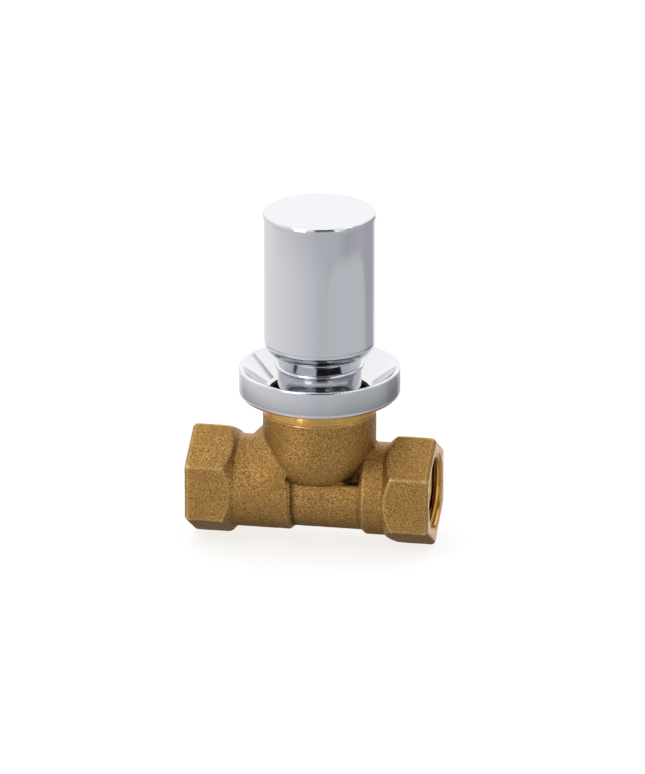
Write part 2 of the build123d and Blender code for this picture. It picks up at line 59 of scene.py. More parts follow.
class Slot(Enum):
    """The record's material slots."""

    FORGED_BRASS = "forged_brass"
    TURNED_BRASS = "turned_brass"
    CHROME = "chrome_plate"
    RUBBER = "black_rubber"
    ACETAL = "white_acetal"
    STAINLESS = "stainless_steel"


def linear(colour: str) -> tuple[float, float, float, float]:
    """Turns an sRGB hex colour into linear values.

    Args:
        colour: Six hex digits after a hash.

    Returns:
        Linear red, green, blue and an alpha of one.
    """
    parts = [int(colour[i:i + 2], 16) / 255 for i in (1, 3, 5)]
    return (*(p / 12.92 if p <= 0.04045 else ((p + 0.055) / 1.055) ** 2.4 for p in parts), 1.0)


def per_mm(size_mm: float) -> float:
    """Turns the real size of a pattern's cell into a texture scale on metre coordinates."""
    return 1.0 / (size_mm * MM)


def add_node(tree: bpy.types.NodeTree, kind: str, inputs: dict | None = None, **settings) -> bpy.types.Node:
    """Adds a node with its settings, values and links.

    Args:
        tree: The tree that gets the node.
        kind: The node's Blender type.
        inputs: Values or output sockets, by the name or number of the input.
        settings: Properties of the node itself.

    Returns:
        The new node.
    """
    node = tree.nodes.new(kind)
    for name, value in settings.items():
        setattr(node, name, value)
    for name, value in (inputs or {}).items():
        if isinstance(value, bpy.types.NodeSocket):
            tree.links.new(value, node.inputs[name])
        else:
            node.inputs[name].default_value = value
    return node


def lay_over(tree: bpy.types.NodeTree, colour: bpy.types.NodeSocket | tuple[float, ...],
             layers: list[tuple[bpy.types.NodeSocket, tuple[float, ...]]]) -> bpy.types.NodeSocket:
    """Lays colours over one another.

    Args:
        tree: The tree that gets the layers.
        colour: The lowest colour.
        layers: How much each colour covers, and the linear colour.

    Returns:
        The colour that results.
    """
    for share, top in layers:
        colour = add_node(tree, "ShaderNodeMix", {"Factor": share, 6: colour, 7: top}, data_type="RGBA").outputs[2]
    return colour


def start_material(name: str, values: dict | None = None) -> tuple[
        bpy.types.Material, bpy.types.NodeTree, bpy.types.Node]:
    """Starts a node material.

    Args:
        name: The material's name.
        values: Values for inputs of its surface shader.

    Returns:
        The material, its tree and its surface shader.
    """
    material = bpy.data.materials.new(name)
    material.use_nodes = True
    shader = material.node_tree.nodes["Principled BSDF"]
    for socket, value in (values or {}).items():
        shader.inputs[socket].default_value = value
    return material, material.node_tree, shader


def cloud(tree: bpy.types.NodeTree, size_mm: float, detail: float, roughness: float = 0.5) -> bpy.types.NodeSocket:
    """Spreads a noise of a real size over the object."""
    place = add_node(tree, "ShaderNodeTexCoord").outputs["Object"]
    return add_node(tree, "ShaderNodeTexNoise", {
        "Vector": place, "Scale": per_mm(size_mm), "Detail": detail, "Roughness": roughness}).outputs[0]


def haze(tree: bpy.types.NodeTree, shader: bpy.types.Node, size_mm: float, ends: tuple[float, float],
         detail: float = 3.0) -> None:
    """Lets the roughness drift between two ends, as polishing and handling leave it."""
    drift = add_node(tree, "ShaderNodeMapRange", {
        0: cloud(tree, size_mm, detail), 1: 0.3, 2: 0.7, 3: ends[0], 4: ends[1]})
    tree.links.new(drift.outputs[0], shader.inputs["Roughness"])


def tool_rings(tree: bpy.types.NodeTree, shader: bpy.types.Node, spacing_mm: float, depth_mm: float,
               strength: float, sway: float = 0.0) -> None:
    """Adds the rings that a turning tool leaves. Real ones are too fine to show, so they are drawn far apart."""
    place = add_node(tree, "ShaderNodeTexCoord").outputs["Object"]
    rings = add_node(tree, "ShaderNodeTexWave", {
        "Vector": place, "Scale": WAVE_PERIOD * per_mm(spacing_mm), "Distortion": sway, "Detail": 1.0},
        wave_type="BANDS", bands_direction="Z")
    bump = add_node(tree, "ShaderNodeBump", {
        "Height": rings.outputs[0], "Strength": strength, "Distance": depth_mm * MM})
    tree.links.new(bump.outputs[0], shader.inputs["Normal"])


@dataclass(frozen=True)
class ForgedBrass:
    """Hot forged and blasted brass: a dull gold skin of fine pits that catches light on its worn edges."""

    name: str = "Blasted_forged_brass"
    light: str = "#D2A45F"
    dark: str = "#6A4B26"
    edge: str = "#E8C686"
    # The colour of the painted shade laid into concave corners and creases.
    crevice_shade: str = "#2A190A"
    stain: str = "#9C7540"
    grain_mm: float = 0.42
    pit_mm: float = 0.22
    stain_mm: float = 7.0
    most_stain: float = 0.45
    roughness: tuple[float, float] = (0.52, 0.36)

    def material(self) -> bpy.types.Material:
        """Builds the node material: one grain drives the colour, the roughness and the pits."""
        material, tree, shader = start_material(self.name, {"Metallic": 1.0})
        grain = cloud(tree, self.grain_mm, 3.0, 0.65)
        speck = add_node(tree, "ShaderNodeMapRange", {0: grain, 1: 0.34, 2: 0.66}).outputs[0]
        stained = add_node(tree, "ShaderNodeMapRange", {
            0: cloud(tree, self.stain_mm, 2.0), 1: 0.4, 2: 0.7, 3: 0.0, 4: self.most_stain}).outputs[0]
        worn = add_node(tree, "ShaderNodeAttribute", attribute_name="edge_wear").outputs["Fac"]
        # Painted shade: concave corners and creases are darkened towards the crevice colour, where shade falls.
        deep = add_node(tree, "ShaderNodeAttribute", attribute_name="crevice_shade").outputs["Fac"]
        colour = lay_over(tree, linear(self.dark), [
            (speck, linear(self.light)), (stained, linear(self.stain)),
            (worn, linear(self.edge)), (deep, linear(self.crevice_shade))])
        tree.links.new(colour, shader.inputs["Base Color"])
        dull = add_node(tree, "ShaderNodeMapRange", {0: speck, 3: self.roughness[0], 4: self.roughness[1]})
        tree.links.new(dull.outputs[0], shader.inputs["Roughness"])
        bump = add_node(tree, "ShaderNodeBump", {"Height": grain, "Strength": 0.8, "Distance": self.pit_mm * MM})
        tree.links.new(bump.outputs[0], shader.inputs["Normal"])
        return material


@dataclass(frozen=True)
class ShadeDarkenedBrass:
    """Machined brass deep in a bore, given a dark colour as painted shade, so that the gap round the sleeve reads as
    dark.
    """

    name: str = "Bore_brass_darkened_as_shade"
    # A dark brown that stands in for the shade inside the bore.
    colour: str = "#3A2A18"
    haze_mm: float = 1.2
    roughness: tuple[float, float] = (0.44, 0.58)

    def material(self) -> bpy.types.Material:
        """Builds the node material."""
        material, tree, shader = start_material(self.name, {"Base Color": linear(self.colour), "Metallic": 1.0})
        haze(tree, shader, self.haze_mm, self.roughness)
        return material


@dataclass(frozen=True)
class TurnedBrass:
    """Brass bright from the lathe: a yellower, smoother face with faint rings round its axis."""

    name: str = "Turned_brass"
    colour: str = "#D3A55C"
    haze_mm: float = 1.6
    roughness: tuple[float, float] = (0.22, 0.32)
    ring_mm: float = 2.0106
    ring_depth_mm: float = 0.03

    def material(self) -> bpy.types.Material:
        """Builds the node material."""
        material, tree, shader = start_material(self.name, {"Base Color": linear(self.colour), "Metallic": 1.0})
        haze(tree, shader, self.haze_mm, self.roughness)
        tool_rings(tree, shader, self.ring_mm, self.ring_depth_mm, 0.25, sway=0.4)
        return material


@dataclass(frozen=True)
class ChromePlate:
    """Polished chrome plate on brass: a cool mirror with a trace of polishing haze."""

    name: str = "Polished_chrome_plate"
    colour: str = "#DADBDE"
    haze_mm: float = 6.0
    roughness: tuple[float, float] = (0.05, 0.08)

    def material(self) -> bpy.types.Material:
        """Builds the node material."""
        material, tree, shader = start_material(self.name, {"Base Color": linear(self.colour), "Metallic": 1.0})
        haze(tree, shader, self.haze_mm, self.roughness)
        return material


@dataclass(frozen=True)
class Rubber:
    """Moulded nitrile rubber: nearly black, dull, with a faint mould bloom."""

    name: str = "Moulded_nitrile_rubber"
    colour: str = "#1C1C1D"
    bloom: str = "#2B2B2C"
    bloom_mm: float = 1.2

    def material(self) -> bpy.types.Material:
        """Builds the node material."""
        material, tree, shader = start_material(self.name, {"Roughness": 0.62, "IOR": 1.52})
        bloom = cloud(tree, self.bloom_mm, 3.0)
        colour = lay_over(tree, linear(self.colour), [(bloom, linear(self.bloom))])
        tree.links.new(colour, shader.inputs["Base Color"])
        return material


@dataclass(frozen=True)
class Acetal:
    """Machined white acetal: opaque, waxy and slightly warm, with faint tool rings."""

    name: str = "Turned_white_acetal"
    colour: str = "#EDECE6"
    ring_mm: float = 1.885
    ring_depth_mm: float = 0.02

    def material(self) -> bpy.types.Material:
        """Builds the node material."""
        material, tree, shader = start_material(self.name, {
            "Base Color": linear(self.colour), "Roughness": 0.38, "IOR": 1.48})
        tool_rings(tree, shader, self.ring_mm, self.ring_depth_mm, 0.2)
        return material


@dataclass(frozen=True)
class StainlessSteel:
    """Stamped and turned stainless steel: neutral grey with a satin drag in it."""

    name: str = "Satin_stainless_steel"
    colour: str = "#B9BABB"
    drag_mm: float = 0.5
    roughness: tuple[float, float] = (0.24, 0.36)

    def material(self) -> bpy.types.Material:
        """Builds the node material."""
        material, tree, shader = start_material(self.name, {"Base Color": linear(self.colour), "Metallic": 1.0})
        haze(tree, shader, self.drag_mm, self.roughness, detail=2.0)
        return material


def dress(node: str, material: bpy.types.Material) -> None:
    """Gives a CAD node that stays in view its finish.

    Args:
        node: The CAD node's name.
        material: The finish.
    """
    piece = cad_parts[node]
    piece.data.materials.clear()
    piece.data.materials.append(material)
    log.info("dressed %s in %s", node, material.name)


def settle(piece: bpy.types.Object, body: Body) -> None:
    """Lets a piece ride on its body.

    Args:
        piece: The finished piece.
        body: The body that carries it.
    """
    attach(piece, body.value)
    log.info("made %s, %d faces, on %s", piece.name, len(piece.data.polygons), body.value)


def make_object(name: str, mesh: bpy.types.Mesh) -> bpy.types.Object:
    """Links a new object for a mesh and returns it."""
    piece = bpy.data.objects.new(name, mesh)
    bpy.context.scene.collection.objects.link(piece)
    return piece


def mark_points(mesh: bpy.types.Mesh, name: str, values: np.ndarray) -> None:
    """Gives each point of a mesh a value that a material can read."""
    mesh.attributes.new(name, "FLOAT", "POINT").data.foreach_set("value", values.astype(np.float32))


def bake(piece: bpy.types.Object) -> None:
    """Turns a piece's modifiers into its plain mesh.

    Args:
        piece: The object whose modifiers are applied and removed.
    """
    shape = piece.evaluated_get(bpy.context.evaluated_depsgraph_get())
    mesh = bpy.data.meshes.new_from_object(shape)
    piece.modifiers.clear()
    old = piece.data
    piece.data = mesh
    bpy.data.meshes.remove(old)


def sharpen(piece: bpy.types.Object, degrees: float) -> None:
    """Shades a piece smooth and keeps the edges crisp that bend more than an angle.

    Args:
        piece: The piece.
        degrees: The least bend that stays crisp.
    """
    shape = bmesh.new()
    shape.from_mesh(piece.data)
    limit = math.radians(degrees)
    for edge in shape.edges:
        edge.smooth = len(edge.link_faces) == 2 and edge.calc_face_angle(0.0) < limit
    shape.to_mesh(piece.data)
    shape.free()
    for face in piece.data.polygons:
        face.use_smooth = True


def lathe(section: list[tuple[float, float]], steps: int, axis: str = "Z") -> bpy.types.Mesh:
    """Turns a closed section round an axis.

    Args:
        section: Radius and height of each corner in millimetres, in order round the closed section.
        steps: Facets round the axis.
        axis: The axis of turning, Z or X.

    Returns:
        A closed mesh in metres with its faces outwards.
    """
    angles = np.linspace(0, 2 * np.pi, steps, endpoint=False)
    rings = []
    for r, h in section:
        across = np.stack([r * np.cos(angles), r * np.sin(angles)], axis=1)
        height = np.full((steps, 1), h)
        rings.append(np.hstack([across, height]) if axis == "Z" else np.hstack([height, across]))
    points = np.concatenate(rings) * MM
    faces = []
    count = len(section)
    for i in range(count):
        j = (i + 1) % count
        for k in range(steps):
            m = (k + 1) % steps
            faces.append((i * steps + k, i * steps + m, j * steps + m, j * steps + k))
    mesh = bpy.data.meshes.new("turned")
    mesh.from_pydata(points.tolist(), [], faces)
    shape = bmesh.new()
    shape.from_mesh(mesh)
    bmesh.ops.remove_doubles(shape, verts=shape.verts, dist=1e-7)
    bmesh.ops.recalc_face_normals(shape, faces=shape.faces)
    shape.to_mesh(mesh)
    shape.free()
    return mesh


@dataclass
class PipeThread:
    """The female pipe thread in a port, made by Geometry Nodes as a ridge wound along the bore."""

    crest_r: float = 9.32
    root_r: float = 10.48
    pitch: float = 1.814
    length: float = 12.2
    crest_width: float = 0.35
    half_root_share: float = 0.48
    turn_points: int = 56
    inset: float = 0.9

    def tree(self) -> bpy.types.NodeTree:
        """Builds the node tree with its named inputs."""
        tree = bpy.data.node_groups.new("Wound_thread", "GeometryNodeTree")
        tree.interface.new_socket("Material", in_out="INPUT", socket_type="NodeSocketMaterial")
        for name in ("Middle radius", "Turns", "Length", "Half depth", "Half root", "Half crest"):
            tree.interface.new_socket(name, in_out="INPUT", socket_type="NodeSocketFloat")
        tree.interface.new_socket("Geometry", in_out="OUTPUT", socket_type="NodeSocketGeometry")
        given = add_node(tree, "NodeGroupInput").outputs
        rail = add_node(tree, "GeometryNodeCurveSpiral", {
            "Resolution": self.turn_points, "Rotations": given["Turns"], "Start Radius": given["Middle radius"],
            "End Radius": given["Middle radius"], "Height": given["Length"], "Reverse": True})
        upright = add_node(tree, "GeometryNodeSetCurveNormal", {"Curve": rail.outputs[0]}, mode="Z_UP")
        away = {}
        for name in ("Half depth", "Half root", "Half crest"):
            away[name] = add_node(tree, "ShaderNodeMath", {0: given[name], 1: -1.0}, operation="MULTIPLY").outputs[0]
        corners = (("Half depth", "Half root", 1, 1), ("Half depth", "Half root", 1, -1),
                   ("Half depth", "Half crest", -1, -1), ("Half depth", "Half crest", -1, 1))
        outline = add_node(tree, "GeometryNodeCurvePrimitiveQuadrilateral", mode="POINTS")
        for number, (depth, half, side, end) in enumerate(corners):
            x = given[depth] if side > 0 else away[depth]
            y = given[half] if end > 0 else away[half]
            point = add_node(tree, "ShaderNodeCombineXYZ", {"X": x, "Y": y})
            tree.links.new(point.outputs[0], outline.inputs[f"Point {number + 1}"])
        ridge = add_node(tree, "GeometryNodeCurveToMesh", {
            "Curve": upright.outputs[0], "Profile Curve": outline.outputs[0], "Fill Caps": True})
        whole = add_node(tree, "GeometryNodeRealizeInstances", {"Geometry": ridge.outputs[0]})
        finished = add_node(tree, "GeometryNodeSetMaterial", {
            "Geometry": whole.outputs[0], "Material": given["Material"]})
        add_node(tree, "NodeGroupOutput", {"Geometry": finished.outputs[0]})
        return tree

    def piece(self, name: str, mouth_x: float, inward: int, material: bpy.types.Material) -> bpy.types.Object:
        """Winds the thread and lays it along the port.

        Args:
            name: The piece's name.
            mouth_x: Where the port ends, in millimetres along the pipe.
            inward: 1 or -1, the way into the port.
            material: The thread's finish.

        Returns:
            The thread as a plain mesh at the origin.
        """
        piece = make_object(name, bpy.data.meshes.new(name))
        modifier = piece.modifiers.new("Thread", "NODES")
        modifier.node_group = self.tree()
        depth = self.root_r - self.crest_r
        values = {"Material": material, "Middle radius": (self.root_r + self.crest_r) / 2 * MM,
                  "Turns": self.length / self.pitch, "Length": self.length * MM, "Half depth": depth / 2 * MM,
                  "Half root": self.pitch * self.half_root_share * MM, "Half crest": self.crest_width / 2 * MM}
        for item in modifier.node_group.interface.items_tree:
            if item.in_out == "INPUT":
                modifier[item.identifier] = values[item.name]
        bpy.context.view_layer.update()
        bake(piece)
        turn = Matrix.Rotation(inward * math.pi / 2, 4, "Y")
        piece.data.transform(Matrix.Translation(((mouth_x + inward * self.inset) * MM, 0, 0)) @ turn)
        return piece


@dataclass
class ForgedBody:
    """The forging: a soft skin from the solid, then the faces that the machine cuts. Sizes in millimetres."""

    thread: PipeThread
    voxel: float = 0.4
    smooth_rounds: int = 1
    dent_depth: float = 0.07
    dent_size: float = 4.0
    most_rise: float = 0.3
    inlet_end_x: float = -35.2
    outlet_end_x: float = 32.3
    end_trim: float = 0.06
    mouth_r: float = 10.65
    mouth_depth: float = 1.3
    clear_r: float = 24.0
    band_low_z: float = 22.2
    band_r: float = 15.3
    band_run: float = 0.25
    band_bevel: float = 0.3
    neck_top_z: float = 27.0
    neck_low_z: float = 12.0
    neck_bore_r: float = 14.6
    neck_mouth_r: float = 14.2
    port_x: float = 17.5
    waist: tuple[float, float, float] = (-6.2, 12.7, 4.2)

    def skin(self) -> bpy.types.Object:
        """Builds the forged skin from a merged copy of the solid."""
        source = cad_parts["valve_body"].data.copy()
        merged = bmesh.new()
        merged.from_mesh(source)
        bmesh.ops.remove_doubles(merged, verts=merged.verts, dist=1e-6)
        merged.to_mesh(source)
        merged.free()
        source.materials.clear()
        piece = make_object("forged_body", source)
        even = piece.modifiers.new("Even", "REMESH")
        even.mode = "VOXEL"
        even.voxel_size = self.voxel * MM
        soft = piece.modifiers.new("Soft", "SMOOTH")
        soft.factor = 0.5
        soft.iterations = self.smooth_rounds
        bake(piece)
        return piece

    def roughen(self, piece: bpy.types.Object) -> None:
        """Adds the shallow unevenness of the die and marks the worn edges, and the concave corners that get painted
        shade.
        """
        mesh = piece.data
        count = len(mesh.vertices)
        points, normals = np.empty(count * 3), np.empty(count * 3)
        mesh.vertices.foreach_get("co", points)
        mesh.vertices.foreach_get("normal", normals)
        points, normals = points.reshape(-1, 3), normals.reshape(-1, 3)
        edges = np.empty(len(mesh.edges) * 2, int)
        mesh.edges.foreach_get("vertices", edges)
        a, b = edges.reshape(-1, 2).T
        ways = ((a, b), (b, a))
        number = np.zeros(count)
        for one, _ in ways:
            np.add.at(number, one, 1)
        number = np.maximum(number, 1)

        def around(values: np.ndarray) -> np.ndarray:
            """Averages the values of each point's neighbours."""
            total = np.zeros(values.shape)
            for one, other in ways:
                np.add.at(total, one, values[other])
            return (total.T / number).T

        bulge = ((points - around(points)) * normals).sum(1)
        # For each mark: rounds of spreading, the least bulge and its reach in millimetres, and the most it shows.
        # The crevice mark is painted shade in the concave places; the edge_wear mark is wear on the edges.
        marks = {"edge_wear": (bulge, 2, 0.016, 0.03, 0.7), "crevice_shade": (-bulge, 5, 0.012, 0.02, 0.85)}
        for name, (bend, rounds, least, reach, most) in marks.items():
            for _ in range(rounds):
                bend = 0.5 * bend + 0.5 * around(bend)
            share = np.clip((bend / MM - least) / reach, 0, 1) * most
            if name == "crevice_shade":
                # The waist's corners get painted shadow on top of the crevice shade.
                share = np.maximum(share, self.corners(points / MM))
            mark_points(mesh, name, share)
        falloff, spacing, octaves = 0.6, 2.0, 3
        lift = np.array([noise.fractal(Vector(p) / (self.dent_size * MM), falloff, spacing, octaves)
                         for p in points.tolist()])
        moved = points + normals * (np.minimum(lift, self.most_rise) * self.dent_depth * MM)[:, None]
        mesh.vertices.foreach_set("co", moved.ravel())
        mesh.update()

    def corners(self, points: np.ndarray) -> np.ndarray:
        """Gives how dark the waist's corners are painted: painted shadow beside the belly's step, at the waist's
        right end and under its top.

        Args:
            points: The skin's points in millimetres.

        Returns:
            A share from 0 to 1 for each point.
        """
        x, y, z = points.T
        start, end, top = self.waist
        outside_r, over = 8, 0.1
        inside = (x > start) & (x < end) & (z < top + over) & (np.hypot(y, z) > outside_r)
        # How far each corner lies, how wide its painted shadow fades and how dark it gets.
        bands = ((x - start, 1.7, 0.95), (end - x, 0.7, 0.55), (top - z, 0.7, 0.7))
        return np.max([np.clip(1 - gap / width, 0, 1) * most for gap, width, most in bands], axis=0) * inside

    def cutters(self) -> list[bpy.types.Object]:
        """Builds what the machine takes away: both ports, both ends and the turned band."""
        tools = []
        past, lead_in, run_out = 3, 0.2, 0.4
        root, crest = self.thread.root_r, self.thread.crest_r
        for end_x, out in ((self.inlet_end_x, -1), (self.outlet_end_x, 1)):
            face_x = end_x - out * self.end_trim
            far_x = face_x + out * past
            mouth_x = face_x - out * self.mouth_depth
            deep_x = mouth_x - out * self.thread.length
            shape = [(0, far_x), (self.clear_r, far_x), (self.clear_r, face_x), (self.mouth_r, face_x),
                     (root, face_x - out * lead_in), (root, deep_x), (crest, deep_x - out * run_out),
                     (0, deep_x - out * run_out)]
            tools.append(make_object("port_cutter", lathe(shape, 160, "X")))
        top, over = self.neck_top_z, 2
        low = self.band_low_z - self.band_run
        band = [(self.band_r, self.band_low_z), (self.band_r + 0.4, low), (self.clear_r, low),
                (self.clear_r, top + over), (0, top + over), (0, top), (self.band_r - self.band_bevel, top),
                (self.band_r, top - self.band_bevel)]
        tools.append(make_object("band_cutter", lathe(band, 256)))
        return tools

    def build(self, forged: bpy.types.Material, turned: bpy.types.Material, dull: bpy.types.Material) -> None:
        """Builds the forging and finishes it.

        Args:
            forged: The finish of the skin.
            turned: The finish of the machined faces.
            dull: The brass darkened as painted shade, for the faces inside the neck.
        """
        piece = self.skin()
        self.roughen(piece)
        tools = self.cutters()
        for tool in tools:
            cut = piece.modifiers.new("Cut", "BOOLEAN")
            cut.operation = "DIFFERENCE"
            cut.solver = "MANIFOLD"
            cut.object = tool
        bake(piece)
        for tool in tools:
            bpy.data.objects.remove(tool)
        piece.data.materials.clear()
        for material in (forged, turned, dull):
            piece.data.materials.append(material)
        self.sort_faces(piece)
        sharpen(piece, 42)
        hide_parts("valve_body")
        settle(piece, Body.VALVE)

    def sort_faces(self, piece: bpy.types.Object) -> None:
        """Gives the machined faces their own material, and the faces inside the neck the brass darkened as painted
        shade.
        """
        skin, machined, inside_neck = 0, 1, 2
        low = self.inlet_end_x + self.end_trim + 0.02
        high = self.outlet_end_x - self.end_trim - 0.02
        for face in piece.data.polygons:
            x, y, z = (c / MM for c in face.center)
            from_pipe, from_spindle = math.hypot(y, z), math.hypot(x, y)
            on_end = (x < low or x > high) and abs(face.normal.x) > 0.9
            in_port = abs(x) > self.port_x and from_pipe < self.thread.root_r + 0.3
            on_band = z > self.band_low_z - 0.3 and from_spindle < self.band_r + 0.45
            under_top = z < self.neck_top_z - 0.05 or from_spindle < self.neck_mouth_r
            in_neck = z > self.neck_low_z and from_spindle < self.neck_bore_r and under_top
            face.material_index = inside_neck if in_neck else machined if on_end or in_port or on_band else skin


@dataclass
class PhotoCamera:
    """A long lens that looks at the valve as the photograph does. Sizes in millimetres and pixels."""

    azimuth: float = 10.4
    elevation: float = 20.0
    distance: float = 2500.0
    scale: float = 3.655
    frame_width: float = 645.0
    frame_height: float = 774.0
    origin_px: tuple[float, float] = (319.6, 484.1)
    sensor: float = 36.0
    clip_end_m: float = 20.0

    def build(self) -> None:
        """Builds the camera and makes it the scene's."""
        az, el = math.radians(self.azimuth), math.radians(self.elevation)
        back = Vector((math.sin(az) * math.cos(el), -math.cos(az) * math.cos(el), math.sin(el)))
        right = Vector((math.cos(az), math.sin(az), 0))
        up = back.cross(right)
        across = (self.frame_width / 2 - self.origin_px[0]) / self.scale
        rise = (self.origin_px[1] - self.frame_height / 2) / self.scale
        aim = right * across + up * rise
        lens = bpy.data.cameras.new("Photo_camera")
        lens.sensor_fit = "HORIZONTAL"
        lens.sensor_width = self.sensor
        lens.lens = self.scale * self.distance * self.sensor / self.frame_width
        lens.clip_end = self.clip_end_m
        camera = make_object("Photo_camera", lens)
        turn = Matrix((right, up, back)).transposed().to_4x4()
        camera.matrix_world = Matrix.Translation((aim + back * self.distance) * MM) @ turn
        bpy.context.scene.camera = camera


@dataclass
class Studio:
    """A pale floor, and surroundings made for the photograph's camera. Sizes in millimetres and degrees.

    What the metal shows depends on where a ray goes and on how often it was reflected, so from other sides it isn't
    what a real room would show.
    """

    floor_z: float = -15.65
    floor_half: float = 4000.0
    paper: str = "#959595"
    paper_glow: float = 0.74
    camera_azimuth: float = 10.4
    card_r: float = 150.0
    turn_step: float = 2.0

    def floor(self) -> None:
        """Lays the floor, which the metal doesn't show."""
        half, z = self.floor_half * MM, self.floor_z * MM
        mesh = bpy.data.meshes.new("studio_floor")
        mesh.from_pydata([(-half, -half, z), (half, -half, z), (half, half, z), (-half, half, z)], [], [(0, 1, 2, 3)])
        floor = make_object("studio_floor", mesh)
        material, tree, shader = start_material("Studio_paper", {
            "Base Color": linear(self.paper), "Roughness": 0.9, "Specular IOR Level": 0.0})
        glow = add_node(tree, "ShaderNodeEmission", {"Color": linear("#FFFFFF"), "Strength": self.paper_glow})
        both = add_node(tree, "ShaderNodeAddShader", {0: shader.outputs[0], 1: glow.outputs[0]})
        tree.links.new(both.outputs[0], tree.nodes["Material Output"].inputs["Surface"])
        floor.data.materials.append(material)
        floor.visible_glossy = False

    def world(self) -> None:
        """Builds the surroundings: white to the camera, soft greys and a dark object in front to the metal."""
        world = bpy.data.worlds.new("Studio")
        world.use_nodes = True
        bpy.context.scene.world = world
        tree = world.node_tree
        way = add_node(tree, "ShaderNodeTexCoord").outputs["Generated"]
        turned = add_node(tree, "ShaderNodeMapping", {
            "Vector": way, "Rotation": (0, 0, math.radians(90 - self.camera_azimuth))})
        # A whole turn goes from 0 to 1, with the camera at 0.5 and its right-hand side above that.
        turn = add_node(tree, "ShaderNodeTexGradient", {"Vector": turned.outputs[0]}, gradient_type="RADIAL")
        turn = turn.outputs["Fac"]
        z = add_node(tree, "ShaderNodeSeparateXYZ", {0: way}).outputs["Z"]
        front = self.apart(tree, turn, 0.5)
        dark_side = self.apart(tree, turn, 0.56)
        far_side = self.apart(tree, dark_side, 0.5)
        right_side = self.apart(tree, turn, 0.635)
        path = add_node(tree, "ShaderNodeLightPath").outputs
        # The ray depth is a whole number, one more than the number of reflections.
        twice, thrice, four_times = ((path["Ray Depth"], count + 0.4, count + 0.6) for count in (2, 3, 4))
        # Each tone and the zone that it covers.
        tones = (
            # The brown underside at the rear.
            ((0.2, 0.17, 0.14), ((z, -0.5, -0.6), (front, 0.2, 0.3))),
            # The bright sky above the horizon.
            ((1.22, 1.22, 1.22), ((z, -0.04, 0.04),)),
            # The grey patch in that sky, in front.
            ((0.55, 0.55, 0.56), ((z, 0.42, 0.5), (z, 0.74, 0.66), (front, 0.3, 0.2))),
            # The plain world that repeated reflections show, and its calmer top.
            ((1.1, 1.1, 1.13), (twice,)),
            ((0.95, 0.95, 0.99), (twice, (z, 0.74, 0.82))),
        )
        # The dark object in front, of which rays show more the oftener they were reflected.
        dark_zones = (
            # What every reflection shows of it: from the horizon nearly up to the zenith.
            ((z, 0.0, 0.05), (z, 0.96, 0.93), (dark_side, 0.1, 0.08)),
            # What two or more reflections show: its top as far as the zenith, and a strip that crosses over.
            (twice, (z, 0.6, 0.66), (dark_side, 0.1, 0.08)),
            (twice, (z, 0.6, 0.66), (z, 0.855, 0.87), (far_side, 0.036, 0.048), (far_side, 0.11, 0.1)),
            # What three or more show high up, and four or more at any height: a wider one, further right.
            (thrice, (z, 0.7, 0.76), (right_side, 0.19, 0.18)),
            (four_times, (right_side, 0.19, 0.18)),
        )
        dark = self.joined(tree, "MAXIMUM", [self.share(tree, zone) for zone in dark_zones])
        layers = [(self.share(tree, zone), (*tone, 1.0)) for tone, zone in tones]
        layers += [(dark, (0.01, 0.01, 0.012, 1.0)), (path["Is Camera Ray"], (1.0, 1.0, 1.0, 1.0))]
        tree.links.new(lay_over(tree, self.horizon(tree, turn), layers), tree.nodes["Background"].inputs["Color"])

    @staticmethod
    def apart(tree: bpy.types.NodeTree, value: bpy.types.NodeSocket, middle: float) -> bpy.types.NodeSocket:
        """Gives how far a value lies from a middle, to either side."""
        gap = add_node(tree, "ShaderNodeMath", {0: value, 1: middle}, operation="SUBTRACT")
        return add_node(tree, "ShaderNodeMath", {0: gap.outputs[0]}, operation="ABSOLUTE").outputs[0]

    @staticmethod
    def joined(tree: bpy.types.NodeTree, operation: str, parts: list[bpy.types.NodeSocket]) -> bpy.types.NodeSocket:
        """Joins values into one by an operation, two at a time."""
        whole = parts[0]
        for part in parts[1:]:
            whole = add_node(tree, "ShaderNodeMath", {0: whole, 1: part}, operation=operation).outputs[0]
        return whole

    def share(self, tree: bpy.types.NodeTree, zone: tuple) -> bpy.types.NodeSocket:
        """Gives how much a zone covers, as the product of its fades.

        Args:
            tree: The world's tree.
            zone: For each fade the value that drives it, where it is 0 and where it is 1.

        Returns:
            The share from 0 to 1.
        """
        return self.joined(tree, "MULTIPLY", [
            add_node(tree, "ShaderNodeMapRange", {0: value, 1: none, 2: full}).outputs[0]
            for value, none, full in zone])

    def horizon(self, tree: bpy.types.NodeTree, turn: bpy.types.NodeSocket) -> bpy.types.NodeSocket:
        """Builds the tones round the horizon, from behind the valve and round again."""
        tones = ((0.0, 0.9, 0.9, 0.92), (0.17, 0.9, 0.9, 0.91), (0.32, 0.81, 0.8, 0.84), (0.44, 0.7, 0.69, 0.74),
                 (0.475, 0.64, 0.64, 0.68), (0.5, 0.59, 0.62, 0.64), (0.63, 0.61, 0.65, 0.67),
                 (0.76, 0.61, 0.65, 0.66), (0.905, 0.46, 0.46, 0.5), (0.93, 0.94, 0.94, 0.94))
        side = add_node(tree, "ShaderNodeValToRGB", {"Fac": turn})
        elements = side.color_ramp.elements
        while len(elements) < len(tones):
            elements.new(0.5)
        for element, (place, *tone) in zip(elements, tones):
            element.position = place
            element.color = (*tone, 1.0)
        return side.outputs[0]

